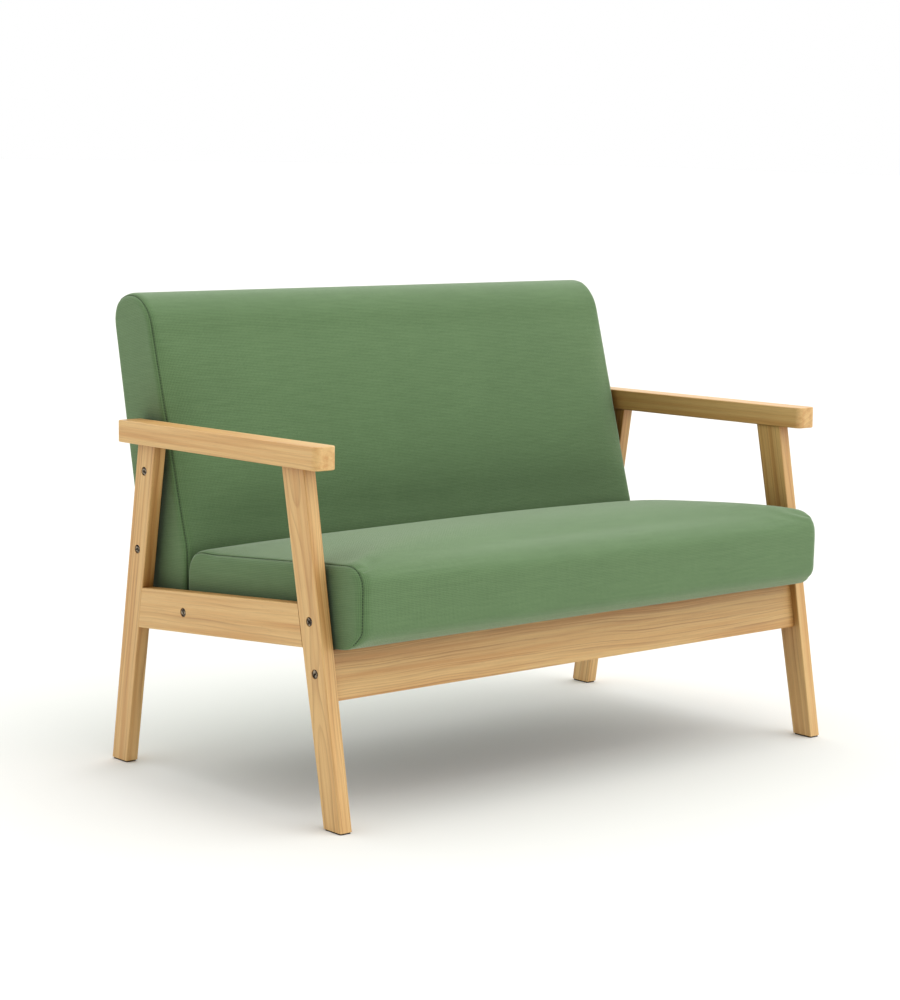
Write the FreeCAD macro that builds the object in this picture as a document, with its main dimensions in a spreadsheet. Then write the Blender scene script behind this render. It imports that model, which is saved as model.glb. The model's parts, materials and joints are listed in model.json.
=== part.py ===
# A two-seat sofa: two splayed wooden side frames with armrests, a front rail, and an upholstered
# seat unit and back unit bolted between them.
#
# Frame: X to the right, Y to the rear, Z up, in millimetres. The origin is on the floor under the
# middle of the whole object. The left half is modelled at -X, and its pieces are mirrored across
# the plane X = 0 for the right half.
import FreeCAD, Part
import Sketcher
import os

V = FreeCAD.Vector

doc = FreeCAD.newDocument("two_seat_sofa")
sheet = doc.addObject("Spreadsheet::Sheet", "dims")

# Driving dimensions, in millimetres and degrees. Heights are above the floor. Side-view positions
# named _y are along Y. "w" distances are square to the side rails, from the rails' centre line.
DIMENSIONS = [
    ("frame_width", 1100, "across the outer faces of the legs"),
    ("leg_thick", 23, "stock of the legs and side rails, along X"),
    ("edge_round", 2, "round-over of the wooden edges"),
    ("leg_ref_height", 540, "height at which the leg tops are stated"),
    ("leg_foot_depth", 42, "leg, front to back, at the floor"),
    ("front_foot_y", -305.5, "middle of the front foot at the floor"),
    ("front_top_y", -197.5, "middle of the front leg at the reference height"),
    ("front_top_depth", 54.5, "front leg, front to back, at the reference height"),
    ("back_foot_y", 264, "middle of the back foot at the floor"),
    ("back_top_y", 189.5, "middle of the back leg at the reference height"),
    ("back_top_depth", 47.5, "back leg, front to back, at the reference height"),
    ("pad_thick", 2.5, "foot pad"),
    ("pad_inset", 1.5, "foot pad, in from the sides of the foot"),
    ("pad_corner", 3, "foot pad, corner radius"),
    ("arm_length", 518, "armrest"),
    ("arm_width", 42.5, "armrest"),
    ("arm_thick", 36.5, "armrest"),
    ("arm_proud", 16, "armrest, outside the outer face of the legs"),
    ("arm_mid_y", -14, "middle of the armrest"),
    ("arm_under_height", 545, "underside of the armrest at its middle"),
    ("arm_tilt", 0.95, "armrest, front end up"),
    ("arm_corner", 11, "armrest, plan radius of the front corners"),
    ("seat_tilt", 4.95, "side rails and seat, front end up"),
    ("rail_mid_height", 286.8, "centre line of the side rails at Y = 0"),
    ("rail_depth", 66.5, "side rail, top to bottom"),
    ("front_rail_setback", 12.7, "front rail, behind the front edge of the legs"),
    ("front_rail_thick", 24, "front rail"),
    ("front_rail_bottom", 194.8, "height of the front rail's lower front edge"),
    ("bolt_dia", 6, "shank"),
    ("bolt_bore", 7, "clearance hole for the shank"),
    ("bolt_head_dia", 13.6, "bolt head"),
    ("bolt_head_thick", 2.4, "bolt head"),
    ("bolt_head_bevel", 0.7, "bevel around the face of the head"),
    ("bolt_socket", 4, "hexagon socket, across its flats"),
    ("bolt_socket_depth", 1.8, "hexagon socket"),
    ("counterbore_dia", 14.8, "recess for the bolt head"),
    ("counterbore_depth", 3, "recess for the bolt head"),
    ("unit_bolt_length", 45, "seat and back bolts, under the head"),
    ("rail_bolt_length", 70, "front rail bolts, under the head"),
    ("bolt_hole_spare", 5, "bolt hole, past the end of the bolt"),
    ("seat_bolt_front_height", 315.5, "seat bolt in the front leg"),
    ("seat_bolt_rear_y", 84, "seat bolt in the side rail"),
    ("rail_bolt_height", 237, "front rail bolt in the front leg"),
    ("back_bolt_high", 496.5, "upper back bolt in the back leg"),
    ("back_bolt_low", 365.5, "lower back bolt in the back leg"),
    ("spacer_dia", 18, "washer between the side frame and the seat or back unit"),
    ("insert_dia", 10, "threaded insert, outside"),
    ("insert_length", 12, "threaded insert"),
    ("nut_dia", 10, "barrel nut"),
    ("nut_length", 16, "barrel nut"),
    ("nut_reach", 60, "barrel nut axis, along the rail bolt from under its head"),
    ("dowel_dia", 8, "wooden dowel"),
    ("dowel_length", 30, "wooden dowel in the rails"),
    ("arm_dowel_length", 40, "wooden dowel under the armrest"),
    ("arm_dowel_below", 22, "armrest dowel, length down in the leg"),
    ("arm_dowel_pitch", 24, "armrest dowels, front to back"),
    ("rail_dowel_pitch", 32, "side rail dowels, top to bottom"),
    ("rail_locator_height", 213, "locating dowel in the end of the front rail"),
    ("fit_clear", 0.2, "clearance on the diameter of a dowel, insert or nut"),
    ("seat_clear", 7, "seat unit, each side, inside the legs"),
    ("back_clear", 10.5, "back unit, each side, inside the legs"),
    ("seat_top_w", 94.3, "side seam of the seat"),
    ("seat_bottom_w", -36.4, "underside of the seat"),
    ("seat_front_y", -329.5, "front face of the seat"),
    ("seat_rear_y", 114.5, "rear face of the seat"),
    ("seat_nose_round", 32, "upper front edge of the seat"),
    ("seat_lip_round", 28, "lower front edge of the seat"),
    ("seat_heel_round", 35, "upper rear edge of the seat"),
    ("seat_tail_round", 10, "lower rear edge of the seat"),
    ("seam_round", 4, "edges around the side panels"),
    ("cover_thick", 1.5, "upholstery fabric"),
    ("foam_clear", 0.3, "foam, inside the cover"),
    ("board_thick", 20, "boards of the seat and back frames"),
    ("board_clear", 0.3, "side boards, inside the cover"),
    ("seat_board_low_w", -34.4, "lower edge of the seat boards"),
    ("seat_board_high_w", 25.6, "upper edge of the seat boards"),
    ("seat_nose_foam", 33, "foam in front of the seat's front board"),
    ("seat_board_rear_gap", 4, "rear board, in from the rear face of the seat"),
    ("seat_middle_y", -92, "middle cross board of the seat"),
    ("webbing_width", 50, "elastic webbing"),
    ("webbing_thick", 1.5, "elastic webbing"),
    ("webbing_pitch", 110, "lengthwise seat webbing"),
    ("long_straps", 8, "spaces between the lengthwise straps"),
    ("cross_pitch", 105, "crosswise seat webbing"),
    ("layer_clear", 0.2, "between stacked layers"),
    ("dust_thick", 0.8, "dust cloth under the seat"),
    ("window_x", 470, "half width of the opening in the seat cover's underside"),
    ("window_front_y", -215, "front of that opening"),
    ("window_rear_y", 85, "rear of that opening"),
    ("dust_overlap", 15, "dust cloth, past the opening"),
    ("back_bottom", 250, "underside of the back unit"),
    ("back_low_y", 116, "front face of the back unit at its underside"),
    ("back_bend_y", 123.5, "front face where it starts to lean"),
    ("back_bend_height", 372, "height where the front face starts to lean"),
    ("back_rake", 16.3, "lean of the front face from upright"),
    ("back_face", 434, "length of the leaning front face"),
    ("back_top_thick", 96, "back unit along its top"),
    ("back_rear_y", 229, "rear face of the back unit at its underside"),
    ("back_brow_round", 44, "upper front edge of the back"),
    ("back_crown_round", 38, "upper rear edge of the back"),
    ("back_foot_round", 12, "lower edges of the back"),
    ("back_frame_in", 22, "back frame, behind the front face"),
    ("back_frame_up", 12, "back frame, above the underside and inside the rear face"),
    ("back_frame_top", 368, "top of the back frame, along the front face from the bend"),
    ("back_frame_deep", 88, "rear edge of the back frame at its top, behind the front face"),
    ("cavity_clear", 2, "foam, clear of the frame boards"),
    ("back_strap_low", 0, "lowest back strap, along the front face from the bend"),
    ("back_strap_high", 235, "first strap above the middle board"),
    ("back_strap_pitch", 70, "between the two straps of a pair"),
    ("lumbar_low", 160, "middle board of the back, along the front face from the bend"),
    ("lumbar_high", 220, "upper edge of that board"),
]
for row, (alias, value, note) in enumerate(DIMENSIONS, start=1):
    sheet.set(f"A{row}", alias)
    sheet.set(f"B{row}", str(value))
    sheet.setAlias(f"B{row}", alias)
    sheet.set(f"C{row}", note)
doc.recompute()

finished = []


def bind(thing, **sizes):
    """Ties properties to expressions on the sheet."""
    for name, expression in sizes.items():
        thing.setExpression(name, expression)
    return thing


def place(thing, x, y, z, axis=V(1, 0, 0), angle="0"):
    """Moves a primitive to an expression-driven place, turned by angle degrees about axis."""
    thing.Placement = FreeCAD.Placement(V(), FreeCAD.Rotation(axis, 1))
    thing.setExpression("Placement.Rotation.Angle", f"({angle}) * 1 deg")
    for letter, expression in zip("xyz", (x, y, z)):
        thing.setExpression(f"Placement.Base.{letter}", expression)
    return thing


def node(thing, label):
    """Keeps a finished sub-part under its own name."""
    thing.Label = label
    finished.append(thing)
    return thing


def mirrored(source, name):
    """The right-hand twin of a left-hand shape."""
    twin = doc.addObject("Part::Mirroring", name)
    twin.Source = source
    twin.Base = V(0, 0, 0)
    twin.Normal = V(1, 0, 0)
    return twin


def pair(thing, name):
    """Keeps a left-hand sub-part and its right-hand twin."""
    node(thing, f"left_{name}")
    node(mirrored(thing, f"right_{name}_mirror"), f"right_{name}")


def group(name, members):
    bundle = doc.addObject("Part::Compound", name)
    bundle.Links = members
    return bundle


def cut(name, base, *tools):
    """Takes each tool away from the base in turn."""
    for number, tool in enumerate(tools):
        step = doc.addObject("Part::Cut", f"{name}_cut_{number}")
        step.Base = base
        step.Tool = tool
        base = step
    return base


def fuse(name, *members):
    whole = doc.addObject("Part::MultiFuse", name)
    whole.Shapes = list(members)
    return whole


def sketch_on(body, role):
    """An empty sketch on one of the body's own origin planes."""
    plane = next(f for f in body.Origin.OriginFeatures if f.Role == role)
    sketch = body.newObject("Sketcher::SketchObject", f"{body.Name}_outline")
    sketch.AttachmentSupport = [(plane, "")]
    sketch.MapMode = "FlatFace"
    return sketch


def polygon(sketch, corners):
    """A closed outline whose corners are pairs of expressions."""
    points = [V(*(float(sketch.evalExpression(e)) for e in corner), 0) for corner in corners]
    count = len(points)
    for i in range(count):
        sketch.addGeometry(Part.LineSegment(points[i], points[(i + 1) % count]))
    for i in range(count):
        sketch.addConstraint(Sketcher.Constraint("Coincident", i, 2, (i + 1) % count, 1))
    for i, (point, (across, up)) in enumerate(zip(points, corners)):
        for kind, value, expression in (("DistanceX", point.x, across), ("DistanceY", point.y, up)):
            number = sketch.addConstraint(Sketcher.Constraint(kind, -1, 1, i, 1, value))
            sketch.setExpression(f"Constraints[{number}]", expression)


def prism(name, corners, length, plane="YZ_Plane", centred=False):
    """A body: an outline in one of the origin planes, padded square to it."""
    body = doc.addObject("PartDesign::Body", name)
    sketch = sketch_on(body, plane)
    polygon(sketch, corners)
    pad = body.newObject("PartDesign::Pad", f"{name}_pad")
    pad.Profile = sketch
    pad.Midplane = centred
    bind(pad, Length=length)
    doc.recompute()
    return body


def rounded(body, radius, wanted):
    """Rounds the edges of the body's last feature that pass the test, given their two ends."""
    tip = body.Tip
    names = []
    for number, edge in enumerate(tip.Shape.Edges, start=1):
        ends = [v.Point for v in edge.Vertexes]
        if len(ends) == 2 and wanted(*ends):
            names.append(f"Edge{number}")
    fillet = body.newObject("PartDesign::Fillet", f"{tip.Name}_round")
    fillet.Base = (tip, names)
    bind(fillet, Radius=radius)
    doc.recompute()
    return body


def cylinder(name, diameter, length, x, y, z, axis=V(0, 1, 0), angle="90"):
    """A round bar. By default it runs along +X from its start."""
    bar = bind(doc.addObject("Part::Cylinder", name), Radius=f"({diameter}) / 2", Height=length)
    return place(bar, x, y, z, axis, angle)


# Lines and points in the side view


def leg_edge(leg, side):
    """An edge of a leg as its place at the floor and its slope: y = foot + slope * z."""
    sign = "-" if side == "front" else "+"
    foot = f"(dims.{leg}_foot_y {sign} dims.leg_foot_depth / 2)"
    top = f"(dims.{leg}_top_y {sign} dims.{leg}_top_depth / 2)"
    return foot, f"(({top} - {foot}) / dims.leg_ref_height)"


def edge_y(edge, height):
    return f"({edge[0]} + {edge[1]} * {height})"


def leg_middle(leg, height):
    """The point on a leg's centre line at a height."""
    slope = f"(dims.{leg}_top_y - dims.{leg}_foot_y) / dims.leg_ref_height"
    return f"(dims.{leg}_foot_y + {slope} * {height})", height


def meet(edge, level, tilt):
    """Where a leg edge crosses the line z = level - tan(tilt) * y."""
    foot, slope = edge
    height = f"(({level} - tan({tilt}) * {foot}) / (1 + tan({tilt}) * {slope}))"
    return edge_y(edge, height), height


def seat_level(w):
    """Height at Y = 0 of the line that lies w above the side rails' centre line."""
    return f"(dims.rail_mid_height + ({w}) / cos(dims.seat_tilt))"


def seat_point(y, w):
    return y, f"({seat_level(w)} - tan(dims.seat_tilt) * ({y}))"


def seat_band(y0, y1, w0, w1):
    """A four-cornered side profile with upright ends, parallel to the side rails."""
    return [seat_point(y0, w0), seat_point(y1, w0), seat_point(y1, w1), seat_point(y0, w1)]


def back_point(along, behind):
    """A point of the back, measured along its leaning front face from the bend, and behind it."""
    y = f"(dims.back_bend_y + ({along}) * sin(dims.back_rake) + ({behind}) * cos(dims.back_rake))"
    z = f"(dims.back_bend_height + ({along}) * cos(dims.back_rake) - ({behind}) * sin(dims.back_rake))"
    return y, z


def back_band(along0, along1, behind0, behind1):
    return [
        back_point(along0, behind0),
        back_point(along1, behind0),
        back_point(along1, behind1),
        back_point(along0, behind1),
    ]


def unit_width(unit):
    """The seat or back unit, across its covered sides."""
    return f"(dims.frame_width - 2 * dims.leg_thick - 2 * dims.{unit}_clear)"


def board_span(unit):
    """Across the outer faces of the unit's side boards."""
    return f"({unit_width(unit)} - 2 * (dims.cover_thick + dims.board_clear))"


def cross_span(unit):
    """Between the unit's side boards."""
    return f"({board_span(unit)} - 2 * dims.board_thick)"


outer_face = "-dims.frame_width / 2"
inner_face = f"({outer_face} + dims.leg_thick)"
leg_middle_x = f"({outer_face} + dims.leg_thick / 2)"
arm_level = "(dims.arm_under_height + tan(dims.arm_tilt) * dims.arm_mid_y)"
front_slope = leg_edge("front", "front")[1]

# Where the bolts sit in the side view
rail_bolt_spot = leg_middle("front", "dims.rail_bolt_height")
unit_bolts = {
    "seat": [
        leg_middle("front", "dims.seat_bolt_front_height"),
        seat_point("dims.seat_bolt_rear_y", "0"),
    ],
    "back": [
        leg_middle("back", "dims.back_bolt_high"),
        leg_middle("back", "dims.back_bolt_low"),
    ],
}


# Fasteners and the holes for them, on the left side


def bolt(name, spot, length):
    """A flat-headed bolt with a hexagon socket, sunk in its recess."""
    face = f"({outer_face} + dims.counterbore_depth - dims.bolt_head_thick)"
    bevel = bind(
        doc.addObject("Part::Cone", f"{name}_bevel"),
        Radius1="dims.bolt_head_dia / 2 - dims.bolt_head_bevel",
        Radius2="dims.bolt_head_dia / 2",
        Height="dims.bolt_head_bevel",
    )
    place(bevel, face, *spot, V(0, 1, 0), "90")
    rim = f"({face} + dims.bolt_head_bevel)"
    rim_thick = "dims.bolt_head_thick - dims.bolt_head_bevel"
    head = cylinder(f"{name}_head", "dims.bolt_head_dia", rim_thick, rim, *spot)
    under = f"({outer_face} + dims.counterbore_depth)"
    shank = cylinder(f"{name}_shank", "dims.bolt_dia", length, under, *spot)
    socket = bind(
        doc.addObject("Part::Prism", f"{name}_socket"),
        Circumradius="dims.bolt_socket / sqrt(3)",
        Height="dims.bolt_socket_depth",
    )
    socket.Polygon = 6
    place(socket, face, *spot, V(0, 1, 0), "90")
    return cut(name, fuse(f"{name}_blank", bevel, head, shank), socket)


def bolt_hole(name, spot, length):
    """The bore and recess of a bolt, open at the outer face and a little longer than the bolt."""
    bore_size = "dims.bolt_bore", f"{length} + dims.bolt_hole_spare"
    recess_size = "dims.counterbore_dia", "dims.counterbore_depth"
    bore = cylinder(f"{name}_bore", *bore_size, outer_face, *spot)
    recess = cylinder(f"{name}_recess", *recess_size, outer_face, *spot)
    return fuse(name, bore, recess)


def ring(name, outer, inner, length, x, spot):
    blank = cylinder(f"{name}_out", outer, length, x, *spot)
    return cut(name, blank, cylinder(f"{name}_in", inner, length, x, *spot))


def rail_dowels(name, spare):
    """Two dowels in each end of the side rail, along it. spare lengthens and widens them."""
    bars = []
    half = f"(dims.dowel_length / 2 + {spare})"
    for joint, edge in (("front", leg_edge("front", "rear")), ("back", leg_edge("back", "front"))):
        for place_name, sign in (("high", "+"), ("low", "-")):
            y, z = meet(edge, seat_level(f"{sign} dims.rail_dowel_pitch / 2"), "dims.seat_tilt")
            start_y = f"{y} + {half} * cos(dims.seat_tilt)"
            start_z = f"{z} - {half} * sin(dims.seat_tilt)"
            bars.append(cylinder(
                f"{name}_{joint}_{place_name}", f"dims.dowel_dia + {spare}", f"2 * {half}",
                leg_middle_x, start_y, start_z, V(1, 0, 0), "90 - dims.seat_tilt",
            ))
    return bars


def arm_dowels(name, spare):
    """Two upright dowels between the armrest and the top of each leg."""
    bars = []
    for leg in ("front", "back"):
        for place_name, sign in (("fore", "-"), ("aft", "+")):
            y = f"dims.{leg}_top_y {sign} dims.arm_dowel_pitch / 2"
            z = f"dims.leg_ref_height - dims.arm_dowel_below - {spare}"
            bars.append(cylinder(
                f"{name}_{leg}_{place_name}", f"dims.dowel_dia + {spare}",
                f"dims.arm_dowel_length + 2 * {spare}", leg_middle_x, y, z, V(1, 0, 0), "0",
            ))
    return bars


def locator(name, spare):
    """The locating dowel between the front leg and the end of the front rail."""
    height = "dims.rail_locator_height"
    depth = f"(dims.front_rail_setback + dims.front_rail_thick / 2 / cos(atan({front_slope})))"
    y = f"{edge_y(leg_edge('front', 'front'), height)} + {depth}"
    start = f"{inner_face} - dims.dowel_length / 3 - {spare}"
    length = f"dims.dowel_length + 2 * {spare}"
    return cylinder(name, f"dims.dowel_dia + {spare}", length, start, y, height)


def barrel_nut(name, spare, tail):
    """A round nut across the front rail. tail runs its bore out of the rear face."""
    middle_y, middle_z = rail_bolt_spot
    half = f"(dims.nut_length / 2 + {spare})"
    lean = f"atan({front_slope})"
    x = f"{outer_face} + dims.counterbore_depth + dims.nut_reach"
    y = f"{middle_y} - {half} * cos({lean})"
    z = f"{middle_z} + {half} * sin({lean})"
    bar = cylinder(name, f"dims.nut_dia + {spare}", f"2 * {half} + {tail}", x, y, z, V(1, 0, 0), "0")
    bar.setExpression("Placement.Rotation.Angle", f"-90 deg - {lean}")
    return bar


wood_holes = group("wood_holes", [
    *(bolt_hole(f"{unit}_hole_{i}", spot, "dims.unit_bolt_length")
      for unit, spots in unit_bolts.items() for i, spot in enumerate(spots)),
    bolt_hole("rail_hole", rail_bolt_spot, "dims.rail_bolt_length"),
    *rail_dowels("rail_dowel_hole", "dims.fit_clear"),
    *arm_dowels("arm_dowel_hole", "dims.fit_clear"),
    locator("locator_hole", "dims.fit_clear"),
    barrel_nut("nut_hole", "dims.fit_clear", "dims.front_rail_thick"),
])
wood_holes_right = mirrored(wood_holes, "wood_holes_right")

for unit, spots in unit_bolts.items():
    bolts = [bolt(f"{unit}_bolt_{i}", spot, "dims.unit_bolt_length") for i, spot in enumerate(spots)]
    pair(group(f"{unit}_bolt_set", bolts), f"{unit}_bolts")
pair(bolt("rail_bolt", rail_bolt_spot, "dims.rail_bolt_length"), "rail_bolt")

pair(group("rail_dowel_set", rail_dowels("rail_dowel", "0")), "rail_dowels")
pair(group("arm_dowel_set", arm_dowels("arm_dowel", "0")), "arm_dowels")
pair(locator("front_rail_dowel_bar", "0"), "front_rail_dowel")

nut_bore = cylinder(
    "nut_cross_bore", "dims.bolt_dia + dims.fit_clear", "dims.nut_dia * 2",
    f"{outer_face} + dims.counterbore_depth + dims.nut_reach - dims.nut_dia", *rail_bolt_spot,
)
pair(cut("barrel_nut_bored", barrel_nut("barrel_nut_bar", "0", "0"), nut_bore), "barrel_nut")

# Spacers keep each unit clear of the side frames, and inserts in its side boards take the bolts
spacers, insert_holes = [], []
for unit, spots in unit_bolts.items():
    board_side = f"-{board_span(unit)} / 2"
    inserts = []
    for i, spot in enumerate(spots):
        spacers.append(ring(
            f"{unit}_spacer_{i}", "dims.spacer_dia", "dims.bolt_bore",
            f"dims.{unit}_clear - 2 * dims.layer_clear", f"{inner_face} + dims.layer_clear", spot,
        ))
        inserts.append(ring(
            f"{unit}_insert_{i}", "dims.insert_dia", "dims.bolt_dia + dims.fit_clear",
            "dims.insert_length", board_side, spot,
        ))
        insert_holes.append(cylinder(
            f"{unit}_insert_hole_{i}", "dims.insert_dia + dims.fit_clear",
            "dims.insert_length + dims.fit_clear", board_side, *spot,
        ))
    pair(group(f"{unit}_insert_set", inserts), f"{unit}_inserts")
pair(group("spacer_set", spacers), "spacers")
insert_holes = group("insert_holes", insert_holes)


# The side frames. Only the long edges of a piece are longer than this, whatever its section.
long_edge = 200


def upright(start, end):
    return abs(end.z - start.z) > long_edge


def lengthwise(start, end):
    return abs(end.y - start.y) > long_edge


def crosswise(start, end):
    return abs(end.x - start.x) > long_edge


def level(start, end):
    return abs(end.z - start.z) < 0.1


for leg in ("front", "back"):
    blank = prism(f"{leg}_leg_blank", [
        (edge_y(leg_edge(leg, "front"), "dims.pad_thick"), "dims.pad_thick"),
        (edge_y(leg_edge(leg, "rear"), "dims.pad_thick"), "dims.pad_thick"),
        meet(leg_edge(leg, "rear"), arm_level, "dims.arm_tilt"),
        meet(leg_edge(leg, "front"), arm_level, "dims.arm_tilt"),
    ], "dims.leg_thick")
    rounded(blank, "dims.edge_round", upright)
    blank.setExpression("Placement.Base.x", outer_face)
    pair(cut(f"{leg}_leg_drilled", blank, wood_holes), f"{leg}_leg")

    half_wide = "(dims.leg_thick / 2 - dims.pad_inset)"
    half_deep = "(dims.leg_foot_depth / 2 - dims.pad_inset)"
    pad_corners = [(f"{a} {half_wide}", f"{b} {half_deep}") for a, b in ("--", " -", "  ", "- ")]
    foot_pad = prism(f"{leg}_pad_blank", pad_corners, "dims.pad_thick", plane="XY_Plane")
    rounded(foot_pad, "dims.pad_corner", lambda start, end: not level(start, end))
    bind(foot_pad, **{"Placement.Base.x": leg_middle_x, "Placement.Base.y": f"dims.{leg}_foot_y"})
    pair(foot_pad, f"{leg}_foot_pad")

half_rail = "dims.rail_depth / 2"
side_rail = prism("side_rail_blank", [
    meet(leg_edge("front", "rear"), seat_level(f"-{half_rail}"), "dims.seat_tilt"),
    meet(leg_edge("back", "front"), seat_level(f"-{half_rail}"), "dims.seat_tilt"),
    meet(leg_edge("back", "front"), seat_level(half_rail), "dims.seat_tilt"),
    meet(leg_edge("front", "rear"), seat_level(half_rail), "dims.seat_tilt"),
], "dims.leg_thick")
rounded(side_rail, "dims.edge_round", lengthwise)
side_rail.setExpression("Placement.Base.x", outer_face)
pair(cut("side_rail_drilled", side_rail, wood_holes), "side_rail")

arm_out = f"{outer_face} - dims.arm_proud"
arm_in = f"{arm_out} + dims.arm_width"
armrest = prism("armrest_blank", [
    (arm_out, "-dims.arm_length / 2"),
    (arm_in, "-dims.arm_length / 2"),
    (arm_in, "dims.arm_length / 2"),
    (arm_out, "dims.arm_length / 2"),
], "dims.arm_thick", plane="XY_Plane")
rounded(armrest, "dims.arm_corner", lambda start, end: not level(start, end) and start.y < 0)
rounded(armrest, "dims.edge_round", level)
place(armrest, "0", "dims.arm_mid_y", "dims.arm_under_height", V(1, 0, 0), "-dims.arm_tilt")
pair(cut("armrest_drilled", armrest, wood_holes), "armrest")

# The front rail leans with the legs, and its upper edge lies under the seat
front_face = leg_edge("front", "front")
rail_shift = "dims.front_rail_setback"
rail_deep = f"(dims.front_rail_thick / cos(atan({front_slope})))"
rail_front = (f"({front_face[0]} + {rail_shift})", front_face[1])
rail_rear = (f"({front_face[0]} + {rail_shift} + {rail_deep})", front_face[1])
rail_top = seat_level("dims.seat_bottom_w - dims.board_clear")
low = "dims.front_rail_bottom"
low_rear = f"({low} - dims.front_rail_thick * sin(atan({front_slope})))"
front_rail = prism("front_rail_blank", [
    (edge_y(rail_front, low), low),
    (edge_y(rail_rear, low_rear), low_rear),
    meet(rail_rear, rail_top, "dims.seat_tilt"),
    meet(rail_front, rail_top, "dims.seat_tilt"),
], "dims.frame_width - 2 * dims.leg_thick", centred=True)
rounded(front_rail, "dims.edge_round", crosswise)
node(cut("front_rail_drilled", front_rail, wood_holes, wood_holes_right), "front_rail")


# The seat unit


def block(name, corners, start, length):
    """An unrounded board: a side profile padded along +X from start."""
    board = prism(f"{name}_board", corners, length)
    board.setExpression("Placement.Base.x", start)
    return board


def cushion_form(name, unit, profile, radii):
    """A unit's outer shape: its side profile across the full width, with its long edges rounded."""
    form = prism(name, profile, unit_width(unit), centred=True)
    for corner, radius in zip(profile, radii):
        if radius:
            rounded(form, radius, corner_at(*corner))
    return form


def inside(name, unit, profile, radii, depth):
    """The same shape, shrunk on all sides."""
    inner = doc.addObject("Part::Offset", name)
    inner.Source = cushion_form(f"{name}_form", unit, profile, radii)
    bind(inner, Value=f"-({depth})")
    return inner


def side_panel_edge(start, end):
    """Edges that lie in one of the two side faces of a unit."""
    return abs(start.x) > long_edge and abs(start.x - end.x) < 0.01


def corner_at(y_expression, z_expression):
    """A test for the long edge at a corner of the side profile."""
    y, z = (float(side_rail.evalExpression(e)) for e in (y_expression, z_expression))
    return lambda start, end: crosswise(start, end) and abs(start.y - y) + abs(start.z - z) < 1


foam_depth = "dims.cover_thick + dims.foam_clear"
seat_front, seat_rear = "dims.seat_front_y", "dims.seat_rear_y"
seat_profile = seat_band(seat_front, seat_rear, "dims.seat_bottom_w", "dims.seat_top_w")
seat_radii = [f"dims.seat_{corner}_round" for corner in ("lip", "tail", "heel", "nose")]
seat_form = cushion_form("seat_form", "seat", seat_profile, seat_radii)
rounded(seat_form, "dims.seam_round", side_panel_edge)

board_low, board_high = "dims.seat_board_low_w", "dims.seat_board_high_w"
seat_board_front = f"({seat_front} + dims.seat_nose_foam)"
seat_board_rear = f"({seat_rear} - dims.seat_board_rear_gap)"
window = block("seat_window", seat_band(
    "dims.window_front_y", "dims.window_rear_y",
    "dims.seat_bottom_w - dims.cover_thick", "dims.seat_bottom_w + 2 * dims.cover_thick",
), "-dims.window_x", "2 * dims.window_x")
seat_lining = inside("seat_lining", "seat", seat_profile, seat_radii, "dims.cover_thick")
node(cut("seat_cover_cut", seat_form, seat_lining, window, wood_holes, wood_holes_right), "seat_cover")

webbing_low = f"({board_high} + dims.layer_clear)"
webbing_high = f"({webbing_low} + dims.webbing_thick)"
cross_low = f"({webbing_high} + dims.layer_clear)"
cross_high = f"({cross_low} + dims.webbing_thick)"
foam_space = block("seat_frame_space", seat_band(
    f"{seat_board_front} - dims.cavity_clear", f"{seat_rear} + dims.board_thick",
    "dims.seat_bottom_w - dims.board_thick", f"{cross_high} + dims.layer_clear",
), f"-{unit_width('seat')} / 2", unit_width("seat"))
seat_filling = inside("seat_filling", "seat", seat_profile, seat_radii, foam_depth)
node(cut("seat_foam_cut", seat_filling, foam_space), "seat_foam")

side_board = block(
    "seat_side", seat_band(seat_board_front, seat_board_rear, board_low, board_high),
    f"-{board_span('seat')} / 2", "dims.board_thick",
)
pair(cut("seat_side_drilled", side_board, wood_holes, insert_holes), "seat_side_board")

half_board = "dims.board_thick / 2"
for label, middle in (
    ("seat_front_board", f"{seat_board_front} + {half_board}"),
    ("seat_middle_board", "dims.seat_middle_y"),
    ("seat_rear_board", f"{seat_board_rear} - {half_board}"),
):
    profile = seat_band(f"{middle} - {half_board}", f"{middle} + {half_board}", board_low, board_high)
    node(block(label, profile, f"-{cross_span('seat')} / 2", cross_span("seat")), label)

half_strap = "dims.webbing_width / 2"
long_profile = seat_band(seat_board_front, seat_board_rear, webbing_low, webbing_high)
node(group("seat_long_webbing_set", [
    block(
        f"long_strap_{i}", long_profile,
        f"({i} - dims.long_straps / 2) * dims.webbing_pitch - {half_strap}", "dims.webbing_width",
    )
    for i in range(int(sheet.get("long_straps")) + 1)
]), "seat_long_webbing")
node(group("seat_cross_webbing_set", [
    block(f"cross_strap_{i + 1}", seat_band(
        f"dims.seat_middle_y + {i} * dims.cross_pitch - {half_strap}",
        f"dims.seat_middle_y + {i} * dims.cross_pitch + {half_strap}", cross_low, cross_high,
    ), f"-{board_span('seat')} / 2", board_span("seat"))
    for i in (-1, 0, 1)
]), "seat_cross_webbing")

dust_high = "(dims.seat_bottom_w - dims.layer_clear)"
dust_half = "(dims.window_x + dims.dust_overlap)"
node(block("dust_cloth", seat_band(
    "dims.window_front_y - dims.dust_overlap", "dims.window_rear_y + dims.dust_overlap",
    f"{dust_high} - dims.dust_thick", dust_high,
), f"-{dust_half}", f"2 * {dust_half}"), "seat_dust_cloth")

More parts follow.
